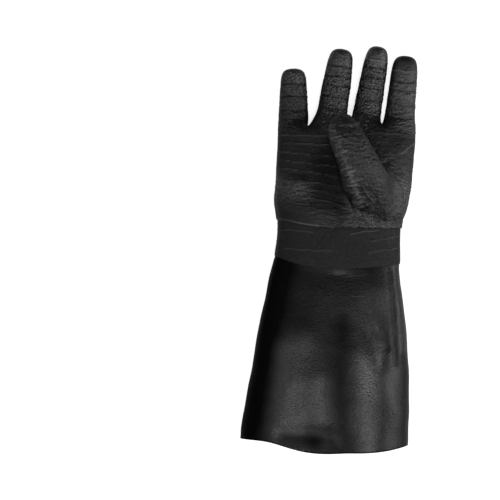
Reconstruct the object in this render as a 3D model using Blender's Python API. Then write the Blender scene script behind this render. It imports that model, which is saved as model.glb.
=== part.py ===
"""A neoprene-coated gauntlet glove for the right hand, lying palm up with its thumb over the palm.

Three shells: the smooth gauntlet, the rough wrist band over its neck, and the rough hand over the band's top.
Each outer surface is a smooth surface drawn through sections. Solidify then gives it the wall.
Metres. +Y runs from the hem to the fingertips, +Z up, and the back of the glove lies on z = 0.
"""

import math
from collections import namedtuple

import bmesh
import bpy
import numpy as np

# Lengths along the glove
GAUNTLET_LENGTH = 0.2365  # hem to wrist seam, down the middle
PALM_LENGTH = 0.113  # wrist seam to the foot of the middle finger
BAND_LENGTH = 0.043  # wrist seam to the band's lower edge, down the middle
SEAM_LAP = 0.008  # how far the hand reaches down over the band's top
FINGER_LENGTH = 0.0812  # the middle finger, from its web
THUMB_LENGTH = 0.104  # root to tip

# Widths across and heights off the table
WRIST_WIDTH = 0.1276
WRIST_HEIGHT = 0.0335
HEM_WIDTH = 0.1785
HEM_HEIGHT = 0.054
PALM_WIDTH = 0.146
PALM_HEIGHT = 0.035
KNUCKLE_HEIGHT = 0.030
FINGER_WIDTH = 0.030
FINGER_HEIGHT = 0.0225
THUMB_WIDTH = 0.037
THUMB_HEIGHT = 0.027
THUMB_LIFT = 0.055  # table to the middle of the thumb

# Walls and the gaps between the shells
HAND_WALL = 0.0018
BAND_WALL = 0.0011
GAUNTLET_WALL = 0.0018
BAND_GAP = 0.0004  # band round the neck
LAP_GAP = 0.0006  # hand's lap round the band
SEAM_FREE = 0.0015  # how far the inner shells end short of the lap's upper end

# The lines across the glove: how much nearer the fingers each side is than the middle
HEM_RISE_LEFT = 0.0143
HEM_RISE_RIGHT = 0.0074
SEAM_RISE_LEFT = 0.0095
BAND_RISE_LEFT = 0.0145
BAND_RISE_RIGHT = 0.0055

# The shallow trough down the gauntlet's face
TROUGH_DEPTH = 0.0065
TROUGH_WIDTH = 0.025
TROUGH_OFFSET = 0.014  # its middle, right of the gauntlet's middle

# How far the band's and the hand's outer faces stand off the neck, and so how high the neck lies
OVER_NECK = BAND_GAP + BAND_WALL
OVER_BAND = OVER_NECK + LAP_GAP + HAND_WALL

# Section shape
HEM_STEEPNESS = 3.4  # how soon the hem's edge rises left of the middle
SIDE_HEIGHT = 0.43  # where a sleeve section's sides stand, share of its height
FLARED_ROWS = 6  # sleeve rows from the hem that the gauntlet's rings follow as they are
EDGE_COLUMN = 0.93  # the outermost front point, as a share of the half width
SLEEVE_POWER = 2.2  # 2 is an ellipse, more is squarer
PALM_POWER = 2.5
PALM_SAG = 0.06  # how far the palm's drawn back reaches below the table, which then flattens it
KNUCKLE_SIDE = 0.48  # where the knuckle line's sides stand, share of KNUCKLE_HEIGHT
FINGER_MIDDLE = 0.52  # height of a finger's middle line at its foot, share of its height
LIMB_POWER = 2.15

# Smooth surface
FIT_ROUNDS = 8
SMOOTH_LEVELS = 1

SleeveRow = namedtuple("SleeveRow", "along flare swing crown lift fold")
# along: share of GAUNTLET_LENGTH from hem to seam. swing: sideways, share of HEM_WIDTH.
# flare, crown: 0 at the wrist's width and height, 1 at the hem's.
# lift: share of the neck's height off the table, below 0 where the table flattens the back.
# fold: how much of the trough and of the hem's curve it has.
SLEEVE_ROWS = (
    SleeveRow(0.000, 1.00, -0.091, 1.00, -0.80, 1.00),
    SleeveRow(0.130, 0.963, -0.0795, 1.04, -0.80, 0.70),
    SleeveRow(0.270, 0.858, -0.0606, 1.00, -0.70, 0.40),
    SleeveRow(0.420, 0.708, -0.050, 0.84, -0.50, 0.16),
    SleeveRow(0.580, 0.531, -0.035, 0.58, -0.20, 0.04),
    SleeveRow(0.720, 0.303, -0.0247, 0.30, 0.30, 0.00),
    SleeveRow(0.830, 0.152, -0.0165, 0.10, 0.70, 0.00),
    SleeveRow(0.920, 0.020, -0.002, 0.01, 0.95, 0.00),
    SleeveRow(1.000, 0.000, 0.003, 0.00, 1.00, 0.00),
)

PalmRow = namedtuple("PalmRow", "along left right top side rise")
# along: share of PALM_LENGTH from seam to webs. left, right: shares of half PALM_WIDTH.
# top, side: shares of PALM_HEIGHT where the face and the side points stand.
# rise: how much of the seam's rise on the left it has.
PALM_ROWS = (
    PalmRow(0.14, 0.935, 0.970, 1.17, 0.54, 1.00),
    PalmRow(0.24, 0.935, 1.015, 1.12, 0.50, 0.70),
    PalmRow(0.40, 0.915, 1.055, 1.05, 0.45, 0.35),
    PalmRow(0.60, 0.900, 1.090, 0.98, 0.43, 0.10),
    PalmRow(0.79, 0.886, 1.115, 0.93, 0.43, 0.00),
)

Finger = namedtuple("Finger", "name base across foot lean length width height curl")
# base: share of the knuckle line that it takes. across: its middle, share of half PALM_WIDTH.
# foot: its start, share of FINGER_WIDTH past the palm's end. lean: degrees to the right.
# length, width, height: shares of the named finger sizes. curl: rise of the tip, share of its height.
FINGER_TABLE = (
    Finger("little", 0.204, -0.652, -0.18, 0.0, 0.765, 0.97, 0.92, 0.30),
    Finger("ring", 0.317, -0.113, -0.03, 9.0, 0.975, 0.985, 1.00, 0.34),
    Finger("middle", 0.252, 0.397, 0.00, 9.8, 1.000, 0.90, 0.98, 0.34),
    Finger("index", 0.227, 0.885, -0.10, 5.7, 0.905, 0.98, 1.00, 0.30),
)
COLUMNS = 2 * len(FINGER_TABLE) + 1  # points across one face of the glove
KNUCKLE_LEFT = -0.878  # where the knuckle line starts and ends, shares of half PALM_WIDTH
KNUCKLE_RIGHT = 1.125
WEB_DROP = 0.0035  # how far the face runs on below each web

LimbRow = namedtuple("LimbRow", "along width height")
# One row per ring of a finger: shares of its length, width and height
FINGER_ROWS = (
    LimbRow(0.13, 1.09, 1.08),
    LimbRow(0.40, 1.02, 1.02),
    LimbRow(0.66, 0.96, 0.98),
    LimbRow(0.86, 0.87, 0.88),
    LimbRow(0.968, 0.61, 0.60),
)

RootPoint = namedtuple("RootPoint", "row column across along height")
# Where the thumb grows out of the palm, listed round the hole from its left side by way of the wrist end.
# across: share of half PALM_WIDTH. along: share of PALM_LENGTH from the seam. height: share of PALM_HEIGHT.
THUMB_ROOT = (
    RootPoint(3, 4, 0.10, 0.300, 1.04),
    RootPoint(2, 4, 0.27, 0.140, 1.17),
    RootPoint(2, 5, 0.47, 0.130, 1.21),
    RootPoint(2, 6, 0.64, 0.130, 1.17),
    RootPoint(2, 7, 0.77, 0.140, 1.05),
    RootPoint(3, 7, 0.86, 0.370, 1.00),
    RootPoint(4, 7, 0.69, 0.575, 0.97),
    RootPoint(4, 6, 0.53, 0.570, 1.00),
    RootPoint(4, 5, 0.36, 0.535, 1.01),
    RootPoint(4, 4, 0.18, 0.475, 1.01),
)

ThumbRow = namedtuple("ThumbRow", "along shift width lift height tilt")
# along: share of THUMB_LENGTH. shift, width: shares of THUMB_WIDTH. lift: share of THUMB_LIFT.
# height: share of THUMB_HEIGHT. tilt: degrees that the ring leans back from the thumb's axis.
THUMB_ROWS = (
    ThumbRow(0.280, -0.25, 1.32, 0.88, 1.00, 31),
    ThumbRow(0.450, -0.19, 1.18, 0.97, 1.06, 14),
    ThumbRow(0.650, -0.14, 1.04, 1.00, 1.00, 2),
    ThumbRow(0.830, -0.11, 0.93, 0.97, 0.92, -6),
    ThumbRow(0.945, -0.09, 0.58, 0.93, 0.60, -10),
)
THUMB_FOOT_ACROSS = 0.654  # share of half PALM_WIDTH
THUMB_FOOT_ALONG = 0.247  # share of PALM_LENGTH
THUMB_LEAN = 28.2  # degrees to the left
THUMB_TIP_LIFT = 0.91  # share of THUMB_LIFT
THUMB_TIP_SHIFT = -0.045  # share of THUMB_WIDTH


def clear_scene():
    for old in list(bpy.data.objects):
        bpy.data.objects.remove(old, do_unlink=True)


def knuckle_shares():
    """Shares across the knuckle line of the web points and the points between them."""
    shares = [0.0]
    for finger in FINGER_TABLE:
        shares += [shares[-1] + finger.base / 2, shares[-1] + finger.base]
    return [share / shares[-1] for share in shares]


def dome(t, power):
    """Height at t across a face that is 1 at the middle and 0 at either side."""
    return max(0.0, 1 - abs(t) ** power) ** (1 / power)


def section(left, right, side, top, bottom, power):
    """(t, x, z) points round the glove: front left to right, right side, back right to left, left side."""
    middle, half = (left + right) / 2, (right - left) / 2
    across = [EDGE_COLUMN * (2 * share - 1) for share in knuckle_shares()]
    front = [(t, middle + half * t, side + (top - side) * dome(t, power)) for t in across]
    back = [(t, middle + half * t, side + (bottom - side) * dome(t, power)) for t in reversed(across)]
    return front + [(1.0, right, side)] + back + [(-1.0, left, side)]


def smooth_between(rows, along, column):
    """The table's column at that share of the length, on a smooth curve through its rows."""
    places = [row.along for row in rows]
    values = [getattr(row, column) for row in rows]
    slopes = np.gradient(values, places)
    after = int(np.clip(np.searchsorted(places, along), 1, len(rows) - 1))
    span = places[after] - places[after - 1]
    u = min(max((along - places[after - 1]) / span, 0.0), 1.0)
    return (
        values[after - 1] * (1 + 2 * u) * (1 - u) ** 2
        + slopes[after - 1] * span * u * (1 - u) ** 2
        + values[after] * u**2 * (3 - 2 * u)
        - slopes[after] * span * u**2 * (1 - u)
    )


def seam_y(t):
    return GAUNTLET_LENGTH + (SEAM_RISE_LEFT * t**2 if t < 0 else 0.0)


def neck_top_y(t):
    return seam_y(t) + SEAM_LAP - SEAM_FREE


def band_y(t):
    return GAUNTLET_LENGTH - BAND_LENGTH + (BAND_RISE_LEFT if t < 0 else BAND_RISE_RIGHT) * t**2


def band_middle_y(t):
    return (seam_y(t) + band_y(t)) / 2


def hem_rise(t):
    """How far the hem's edge draws up towards the sides: a soft step on the left, a curve on the right."""
    if t < 0:
        return HEM_RISE_LEFT * (1 - (1 - t**2) ** HEM_STEEPNESS)
    return HEM_RISE_RIGHT * t**3


def trough(t, half):
    """Depth of the face's trough at t across a section of that half width."""
    across = (t * half - TROUGH_OFFSET) / TROUGH_WIDTH
    return TROUGH_DEPTH * math.exp(-(across**2))


def sleeve_section(along):
    """The gauntlet's outer section at that share of its length."""
    flare, swing, crown, lift, fold = (
        smooth_between(SLEEVE_ROWS, along, column) for column in SleeveRow._fields[1:]
    )
    width = WRIST_WIDTH + flare * (HEM_WIDTH - WRIST_WIDTH)
    height = WRIST_HEIGHT + crown * (HEM_HEIGHT - WRIST_HEIGHT)
    bottom = lift * OVER_BAND
    middle = swing * HEM_WIDTH
    side = bottom + height * SIDE_HEIGHT
    ring = section(middle - width / 2, middle + width / 2, side, bottom + height, bottom, SLEEVE_POWER)
    face = [(t, x, z - fold * trough(t, width / 2)) for t, x, z in ring[:COLUMNS]]
    return face + ring[COLUMNS:]


def sleeve_ring(y_of, outwards):
    """A ring on the sleeve where each point's y follows y_of, grown outwards by that distance."""
    whole = [(t, y_of(t)) for t, _, _ in sleeve_section(0.0)]
    ring = []
    for i, (t, y) in enumerate(whole):
        cut = sleeve_section(y / GAUNTLET_LENGTH)
        ahead, behind = cut[(i + 1) % len(cut)], cut[i - 1]
        run = math.hypot(ahead[1] - behind[1], ahead[2] - behind[2])
        x = cut[i][1] - outwards * (ahead[2] - behind[2]) / run
        z = cut[i][2] + outwards * (ahead[1] - behind[1]) / run
        ring.append((x, y, z))
    return ring


def neck_rings(outwards):
    """Rings from the dip line to the top of the neck, grown outwards by that distance."""
    return [sleeve_ring(y_of, outwards) for y_of in (band_y, band_middle_y, seam_y, neck_top_y)]


def gauntlet_rings():
    rings = [
        sleeve_ring(lambda t, row=row: row.along * GAUNTLET_LENGTH + row.fold * hem_rise(t), 0.0)
        for row in SLEEVE_ROWS[:FLARED_ROWS]
    ]
    last = SLEEVE_ROWS[FLARED_ROWS - 1].along * GAUNTLET_LENGTH
    rings.append(sleeve_ring(lambda t: (last + band_y(t)) / 2, 0.0))
    return rings + neck_rings(0.0)


def tube_mesh(rings):
    """A bmesh of quads between rings of equal count, each row in the order that faces outwards."""
    mesh = bmesh.new()
    rows = [[mesh.verts.new(point) for point in ring] for ring in rings]
    for lower, upper in zip(rows, rows[1:]):
        skin(mesh, lower, upper)
    return mesh, rows


def skin(mesh, lower, upper):
    count = len(lower)
    for i in range(count):
        j = (i + 1) % count
        mesh.faces.new((lower[i], lower[j], upper[j], upper[i]))


def cap(mesh, ring, tip):
    """Closes a ring of even count with quads that meet at tip."""
    centre = mesh.verts.new(tip)
    for i in range(0, len(ring), 2):
        mesh.faces.new((ring[i - 1], ring[i], ring[(i + 1) % len(ring)], centre))


def limit_position(vert):
    """Where the smooth surface passes for this cage point."""
    if vert.is_boundary:
        ends = [edge.other_vert(vert).co for edge in vert.link_edges if edge.is_boundary]
        return (4 * vert.co + ends[0] + ends[1]) / 6
    valence = len(vert.link_edges)
    total = vert.co * valence**2
    for edge in vert.link_edges:
        total = total + 4 * edge.other_vert(vert).co
    near = {edge.other_vert(vert) for edge in vert.link_edges} | {vert}
    for face in vert.link_faces:
        far = [other for other in face.verts if other not in near]
        total = total + sum((other.co for other in far), vert.co * 0) / len(far)
    return total / (valence * (valence + 5))


def fit_cage(mesh):
    """Moves the cage's points outwards until the smooth surface passes through where they were drawn."""
    drawn = {vert: vert.co.copy() for vert in mesh.verts}
    for _ in range(FIT_ROUNDS):
        misses = {vert: drawn[vert] - limit_position(vert) for vert in mesh.verts}
        for vert, miss in misses.items():
            vert.co += miss


def press_to_table(points):
    """Flattens what would hang below the table."""
    points[:, 2] = np.maximum(points[:, 2], 0.0)
    return points


def smooth_surface(name, mesh):
    """The cage as an object's plain mesh after subdivision, pressed to the table."""
    fit_cage(mesh)
    data = bpy.data.meshes.new(name)
    mesh.to_mesh(data)
    mesh.free()
    cage = bpy.data.objects.new(name, data)
    bpy.context.scene.collection.objects.link(cage)
    subdivide = cage.modifiers.new("Smooth surface", "SUBSURF")
    subdivide.levels = SMOOTH_LEVELS
    subdivide.render_levels = SMOOTH_LEVELS
    bpy.context.view_layer.update()
    evaluated = cage.evaluated_get(bpy.context.evaluated_depsgraph_get())
    smooth = bpy.data.meshes.new_from_object(evaluated)
    bpy.data.objects.remove(cage, do_unlink=True)
    points = np.empty(len(smooth.vertices) * 3)
    smooth.vertices.foreach_get("co", points)
    smooth.vertices.foreach_set("co", press_to_table(points.reshape(-1, 3)).ravel())
    smooth.update()
    shell = bpy.data.objects.new(name, smooth)
    bpy.context.scene.collection.objects.link(shell)
    return shell


def add_wall(shell, thickness):
    """Gives the outer surface its wall, inwards."""
    wall = shell.modifiers.new("Wall", "SOLIDIFY")
    wall.thickness = thickness
    wall.offset = -1.0
    wall.use_quality_normals = True


def make_gauntlet():
    mesh, _ = tube_mesh(gauntlet_rings())
    shell = smooth_surface("gauntlet", mesh)
    add_wall(shell, GAUNTLET_WALL)
    return shell


def make_wrist_band():
    """The second coat: a tube over the gauntlet's neck, from its wavy lower edge up into the lap."""
    mesh, _ = tube_mesh(neck_rings(OVER_NECK))
    shell = smooth_surface("wrist_band", mesh)
    add_wall(shell, BAND_WALL)
    return shell


def palm_rings():
    """Rings from the hand's lower edge to the row below the webs."""
    rings = [sleeve_ring(y_of, OVER_BAND) for y_of in (seam_y, lambda t: seam_y(t) + SEAM_LAP)]
    for row in PALM_ROWS:
        ring = section(
            -row.left * PALM_WIDTH / 2,
            row.right * PALM_WIDTH / 2,
            row.side * PALM_HEIGHT,
            row.top * PALM_HEIGHT,
            -PALM_SAG * PALM_HEIGHT,
            PALM_POWER,
        )
        along = row.along * PALM_LENGTH + (1 - row.rise) * GAUNTLET_LENGTH
        rings.append([(x, along + row.rise * seam_y(t), z) for t, x, z in ring])
    return rings


def web_heights():
    """Y of the knuckle row at each column: the webs between the fingers and the sides of the outer two."""
    feet = [finger.foot for finger in FINGER_TABLE]
    edges = [feet[0]] + [(a + b) / 2 for a, b in zip(feet, feet[1:])] + [feet[-1]]
    end = GAUNTLET_LENGTH + PALM_LENGTH
    return [end + foot * FINGER_WIDTH for foot in edges]


def knuckle_ring():
    """The palm's last ring, with its web columns a little lower than the middles of the fingers."""
    ring = section(
        KNUCKLE_LEFT * PALM_WIDTH / 2,
        KNUCKLE_RIGHT * PALM_WIDTH / 2,
        KNUCKLE_HEIGHT * KNUCKLE_SIDE,
        KNUCKLE_HEIGHT,
        0.0,
        PALM_POWER,
    )
    webs = web_heights()
    points = []
    for i, (_, x, z) in enumerate(ring):
        if i < COLUMNS:
            column = i
        elif i == COLUMNS:
            column = COLUMNS - 1
        elif i <= 2 * COLUMNS:
            column = 2 * COLUMNS - i
        else:
            column = 0
        low, high = webs[column // 2], webs[(column + 1) // 2]
        points.append((x, (low + high) / 2 - WEB_DROP, z))
    return points


def limb_ring(centre, along, right, width, height, count):
    """A ring round a limb, in the palm rings' order: left of the front first, clockwise seen from the tip."""
    up = np.cross(right, along)
    points = []
    for i in range(count):
        angle = math.pi - (i + 1) * 2 * math.pi / count
        c, s = math.cos(angle), math.sin(angle)
        out = (abs(c) ** LIMB_POWER + abs(s) ** LIMB_POWER) ** (-1 / LIMB_POWER)
        points.append(tuple(centre + right * (c * out * width / 2) + up * (s * out * height / 2)))
    return points


def make_finger(mesh, finger, base_ring):
    """Rings from the knuckle line to a closed fingertip."""
    length = FINGER_LENGTH * finger.length
    lean = math.radians(finger.lean)
    along = np.array((math.sin(lean), math.cos(lean), 0.0))
    right = np.array((math.cos(lean), -math.sin(lean), 0.0))
    start = GAUNTLET_LENGTH + PALM_LENGTH + finger.foot * FINGER_WIDTH
    foot = np.array((finger.across * PALM_WIDTH / 2, start, 0.0))
    height = FINGER_HEIGHT * finger.height
    width = FINGER_WIDTH * finger.width
    rise = finger.curl * height
    previous = base_ring
    for row in FINGER_ROWS:
        centre = foot + along * (row.along * length)
        centre[2] = height * FINGER_MIDDLE + rise * row.along**2
        ring = limb_ring(centre, along, right, width * row.width, height * row.height, len(base_ring))
        verts = [mesh.verts.new(point) for point in ring]
        skin(mesh, previous, verts)
        previous = verts
    tip = foot + along * length
    tip[2] = height * FINGER_MIDDLE + rise
    cap(mesh, previous, tuple(tip))


def make_thumb(mesh, root):
    """Rings from the root in the palm, over the palm to the closed tip."""
    lean = math.radians(THUMB_LEAN)
    along = np.array((-math.sin(lean), math.cos(lean), 0.0))
    right = np.array((math.cos(lean), math.sin(lean), 0.0))
    foot = np.array(
        (THUMB_FOOT_ACROSS * PALM_WIDTH / 2, GAUNTLET_LENGTH + THUMB_FOOT_ALONG * PALM_LENGTH, 0.0)
    )
    previous = root
    for row in THUMB_ROWS:
        centre = foot + along * (row.along * THUMB_LENGTH) + right * (row.shift * THUMB_WIDTH)
        centre[2] = row.lift * THUMB_LIFT
        tilt = math.radians(row.tilt)
        axis = along * math.cos(tilt) + np.array((0.0, 0.0, math.sin(tilt)))
        ring = limb_ring(centre, axis, right, THUMB_WIDTH * row.width, THUMB_HEIGHT * row.height, len(root))
        verts = [mesh.verts.new(point) for point in ring]
        # the root's list starts at the left side, the ring's just after it
        verts = verts[-1:] + verts[:-1]
        skin(mesh, previous, verts)
        previous = verts
    tip = foot + along * THUMB_LENGTH + right * (THUMB_TIP_SHIFT * THUMB_WIDTH)
    tip[2] = THUMB_TIP_LIFT * THUMB_LIFT
    cap(mesh, previous, tuple(tip))


def open_thumb_root(mesh, rows):
    """Cuts the hole that the thumb grows from, and draws its edge where the thumb's foot lies."""
    inside = {rows[3][5], rows[3][6]}
    bmesh.ops.delete(mesh, geom=list(inside), context="VERTS")
    root = []
    for point in THUMB_ROOT:
        vert = rows[point.row][point.column]
        vert.co.x = point.across * PALM_WIDTH / 2
        vert.co.y = GAUNTLET_LENGTH + point.along * PALM_LENGTH
        vert.co.z = point.height * PALM_HEIGHT
        root.append(vert)
    return root


def make_hand():
    mesh, rows = tube_mesh(palm_rings() + [knuckle_ring()])
    root = open_thumb_root(mesh, rows)
    make_thumb(mesh, root)
    ring = rows[-1]
    right_side, left_side = ring[COLUMNS], ring[-1]
    webs = web_heights()
    sides = [left_side]
    for k in range(1, len(FINGER_TABLE)):
        front, back = ring[2 * k], ring[2 * COLUMNS - 2 * k]
        middle = (front.co + back.co) / 2
        sides.append(mesh.verts.new((middle.x, webs[k], middle.z)))
    sides.append(right_side)
    for f, finger in enumerate(FINGER_TABLE):
        front = ring[2 * f : 2 * f + 3]
        first_back = 2 * COLUMNS - 2 * (f + 1)
        back = ring[first_back : first_back + 3]
        make_finger(mesh, finger, front + [sides[f + 1]] + back + [sides[f]])
    shell = smooth_surface("hand", mesh)
    add_wall(shell, HAND_WALL)
    return shell


def paint(shell, name, colour, roughness):
    material = bpy.data.materials.new(name)
    material.use_nodes = True
    surface = material.node_tree.nodes["Principled BSDF"]
    surface.inputs["Base Color"].default_value = (*colour, 1.0)
    surface.inputs["Roughness"].default_value = roughness
    surface.inputs["Metallic"].default_value = 0.0
    shell.data.materials.append(material)
    shell.data.shade_smooth()


def centre_on_origin(shells):
    """Moves the glove so that the middle of its box stands over the origin."""
    corners = [np.array([v.co for v in shell.data.vertices]) for shell in shells]
    low = np.min([c.min(0) for c in corners], axis=0)
    high = np.max([c.max(0) for c in corners], axis=0)
    for shell in shells:
        shell.location = (-(low[0] + high[0]) / 2, -(low[1] + high[1]) / 2, 0.0)


def main():
    clear_scene()
    gauntlet = make_gauntlet()
    band = make_wrist_band()
    hand = make_hand()
    paint(gauntlet, "smooth neoprene", (0.012, 0.012, 0.013), 0.32)
    paint(band, "rough neoprene band", (0.018, 0.018, 0.019), 0.55)
    paint(hand, "rough neoprene", (0.018, 0.018, 0.019), 0.5)
    centre_on_origin([gauntlet, band, hand])


main()
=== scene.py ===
"""Looks of the neoprene gauntlet glove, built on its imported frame.

The glove lies palm up with its thumb over the palm. From the hem to the fingertips it is put together
from the smooth gauntlet, the rough band of second coat over its neck, and the rough hand over the band's top.
"""

import math
from collections import namedtuple

import bmesh
import bpy
import numpy as np
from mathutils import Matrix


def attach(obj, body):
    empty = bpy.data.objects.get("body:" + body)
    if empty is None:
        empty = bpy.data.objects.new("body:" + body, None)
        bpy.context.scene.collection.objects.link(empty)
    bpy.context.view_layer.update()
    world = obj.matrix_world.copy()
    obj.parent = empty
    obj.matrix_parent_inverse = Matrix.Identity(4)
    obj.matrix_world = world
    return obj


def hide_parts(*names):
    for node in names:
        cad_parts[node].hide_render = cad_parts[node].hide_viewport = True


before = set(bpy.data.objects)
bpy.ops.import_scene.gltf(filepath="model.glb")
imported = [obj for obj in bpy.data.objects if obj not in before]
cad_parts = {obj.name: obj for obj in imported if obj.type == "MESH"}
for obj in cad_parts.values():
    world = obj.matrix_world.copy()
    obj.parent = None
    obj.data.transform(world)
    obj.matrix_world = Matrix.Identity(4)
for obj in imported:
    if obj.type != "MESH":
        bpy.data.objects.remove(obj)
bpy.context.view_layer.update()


# The gauntlet: a long flared sleeve, dipped in smooth neoprene over a knitted cotton tube.
# It is one tube, its hem cut in a soft wave, and its plain neck runs up inside the band.
# A cage of sections gives a smooth surface, the same one that the CAD solid has.

GAUNTLET_LENGTH = 0.2365
WRIST_WIDTH = 0.1276
WRIST_HEIGHT = 0.0335
HEM_WIDTH = 0.1785
HEM_HEIGHT = 0.054
GAUNTLET_WALL = 0.0018
OVER_NECK = 0.0015  # the band's outer face stands this far off the neck
OVER_BAND = 0.0039  # and the hand's this far
BAND_LENGTH = 0.043
SEAM_LAP = 0.008
SEAM_FREE = 0.0015
SEAM_RISE_LEFT = 0.0095
BAND_RISE_LEFT = 0.0145
BAND_RISE_RIGHT = 0.0055
HEM_RISE_LEFT = 0.0143
HEM_RISE_RIGHT = 0.0074
HEM_STEEPNESS = 3.4
TROUGH_DEPTH = 0.0065
TROUGH_WIDTH = 0.025
TROUGH_OFFSET = 0.014
SIDE_HEIGHT = 0.43
EDGE_COLUMN = 0.93
SLEEVE_POWER = 2.2
FLARED_ROWS = 6
FIT_ROUNDS = 8
DRAWN_TO_ROW = (0.01025, -0.21478, 0.0)  # from the frame of these sizes, hem at y 0, to the CAD row's frame
KNUCKLES = (0.204, 0.317, 0.252, 0.227)  # shares of the knuckle line from the little finger to the index
COLUMNS = 2 * len(KNUCKLES) + 1

SleeveRow = namedtuple("SleeveRow", "along flare swing crown lift fold")
SLEEVE_ROWS = (
    SleeveRow(0.000, 1.00, -0.091, 1.00, -0.80, 1.00),
    SleeveRow(0.130, 0.963, -0.0795, 1.04, -0.80, 0.70),
    SleeveRow(0.270, 0.858, -0.0606, 1.00, -0.70, 0.40),
    SleeveRow(0.420, 0.708, -0.050, 0.84, -0.50, 0.16),
    SleeveRow(0.580, 0.531, -0.035, 0.58, -0.20, 0.04),
    SleeveRow(0.720, 0.303, -0.0247, 0.30, 0.30, 0.00),
    SleeveRow(0.830, 0.152, -0.0165, 0.10, 0.70, 0.00),
    SleeveRow(0.920, 0.020, -0.002, 0.01, 0.95, 0.00),
    SleeveRow(1.000, 0.000, 0.003, 0.00, 1.00, 0.00),
)


def knuckle_shares():
    """Shares across the knuckle line of the web points and the points between them."""
    shares = [0.0]
    for base in KNUCKLES:
        shares += [shares[-1] + base / 2, shares[-1] + base]
    return [share / shares[-1] for share in shares]


def dome(t, power):
    """Height at t across a face that is 1 at the middle and 0 at either side."""
    return max(0.0, 1 - abs(t) ** power) ** (1 / power)


def section(left, right, side, top, bottom, power):
    """(t, x, z) points round the glove: front left to right, right side, back right to left, left side."""
    middle, half = (left + right) / 2, (right - left) / 2
    across = [EDGE_COLUMN * (2 * share - 1) for share in knuckle_shares()]
    front = [(t, middle + half * t, side + (top - side) * dome(t, power)) for t in across]
    back = [(t, middle + half * t, side + (bottom - side) * dome(t, power)) for t in reversed(across)]
    return front + [(1.0, right, side)] + back + [(-1.0, left, side)]


def smooth_between(rows, along, column):
    """The table's column at that share of the length, on a smooth curve through its rows."""
    places = [row.along for row in rows]
    values = [getattr(row, column) for row in rows]
    slopes = np.gradient(values, places)
    after = int(np.clip(np.searchsorted(places, along), 1, len(rows) - 1))
    span = places[after] - places[after - 1]
    u = min(max((along - places[after - 1]) / span, 0.0), 1.0)
    return (
        values[after - 1] * (1 + 2 * u) * (1 - u) ** 2
        + slopes[after - 1] * span * u * (1 - u) ** 2
        + values[after] * u**2 * (3 - 2 * u)
        - slopes[after] * span * u**2 * (1 - u)
    )


def seam_y(t):
    return GAUNTLET_LENGTH + (SEAM_RISE_LEFT * t**2 if t < 0 else 0.0)


def neck_top_y(t):
    return seam_y(t) + SEAM_LAP - SEAM_FREE


def band_y(t):
    return GAUNTLET_LENGTH - BAND_LENGTH + (BAND_RISE_LEFT if t < 0 else BAND_RISE_RIGHT) * t**2


def band_middle_y(t):
    return (seam_y(t) + band_y(t)) / 2


def hem_rise(t):
    """How far the hem's edge draws up towards the sides: a soft step on the left, a curve on the right."""
    if t < 0:
        return HEM_RISE_LEFT * (1 - (1 - t**2) ** HEM_STEEPNESS)
    return HEM_RISE_RIGHT * t**3


def sleeve_section(along):
    """The gauntlet's outer section at that share of its length, with the trough down its face."""
    flare, swing, crown, lift, fold = (
        smooth_between(SLEEVE_ROWS, along, column) for column in SleeveRow._fields[1:]
    )
    width = WRIST_WIDTH + flare * (HEM_WIDTH - WRIST_WIDTH)
    height = WRIST_HEIGHT + crown * (HEM_HEIGHT - WRIST_HEIGHT)
    bottom = lift * OVER_BAND
    middle = swing * HEM_WIDTH
    side = bottom + height * SIDE_HEIGHT
    ring = section(middle - width / 2, middle + width / 2, side, bottom + height, bottom, SLEEVE_POWER)
    face = []
    for t, x, z in ring[:COLUMNS]:
        across = (t * width / 2 - TROUGH_OFFSET) / TROUGH_WIDTH
        face.append((t, x, z - fold * TROUGH_DEPTH * math.exp(-(across**2))))
    return face + ring[COLUMNS:]


def sleeve_ring(y_of, outwards):
    """A ring on the sleeve where each point's y follows y_of, grown outwards by that distance."""
    ring = []
    for i, (t, _, _) in enumerate(sleeve_section(0.0)):
        y = y_of(t)
        cut = sleeve_section(y / GAUNTLET_LENGTH)
        ahead, behind = cut[(i + 1) % len(cut)], cut[i - 1]
        run = math.hypot(ahead[1] - behind[1], ahead[2] - behind[2])
        x = cut[i][1] - outwards * (ahead[2] - behind[2]) / run
        z = cut[i][2] + outwards * (ahead[1] - behind[1]) / run
        ring.append((x, y, z))
    return ring


def neck_rings(outwards):
    """Rings from the dip line to the top of the neck, grown outwards by that distance."""
    return [sleeve_ring(y_of, outwards) for y_of in (band_y, band_middle_y, seam_y, neck_top_y)]


def skin(cage, lower, upper):
    """Quads between two rings of equal count."""
    for i in range(len(lower)):
        j = (i + 1) % len(lower)
        cage.faces.new((lower[i], lower[j], upper[j], upper[i]))


def tube_cage(rings):
    """A bmesh of quads between rings of equal count."""
    cage = bmesh.new()
    rows = [[cage.verts.new(point) for point in ring] for ring in rings]
    for lower, upper in zip(rows, rows[1:]):
        skin(cage, lower, upper)
    return cage, rows


def limit_position(vert):
    """Where the smooth surface passes for this cage point."""
    if vert.is_boundary:
        ends = [edge.other_vert(vert).co for edge in vert.link_edges if edge.is_boundary]
        return (4 * vert.co + ends[0] + ends[1]) / 6
    valence = len(vert.link_edges)
    total = vert.co * valence**2
    for edge in vert.link_edges:
        total = total + 4 * edge.other_vert(vert).co
    near = {edge.other_vert(vert) for edge in vert.link_edges} | {vert}
    for face in vert.link_faces:
        far = [other for other in face.verts if other not in near]
        total = total + sum((other.co for other in far), vert.co * 0) / len(far)
    return total / (valence * (valence + 5))


def fit_cage(cage):
    """Moves the cage's points outwards until the smooth surface passes through where they were drawn."""
    drawn = {vert: vert.co.copy() for vert in cage.verts}
    for _ in range(FIT_ROUNDS):
        misses = {vert: drawn[vert] - limit_position(vert) for vert in cage.verts}
        for vert, miss in misses.items():
            vert.co += miss


def points_of(mesh):
    points = np.empty(len(mesh.vertices) * 3)
    mesh.vertices.foreach_get("co", points)
    return points.reshape(-1, 3)


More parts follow.
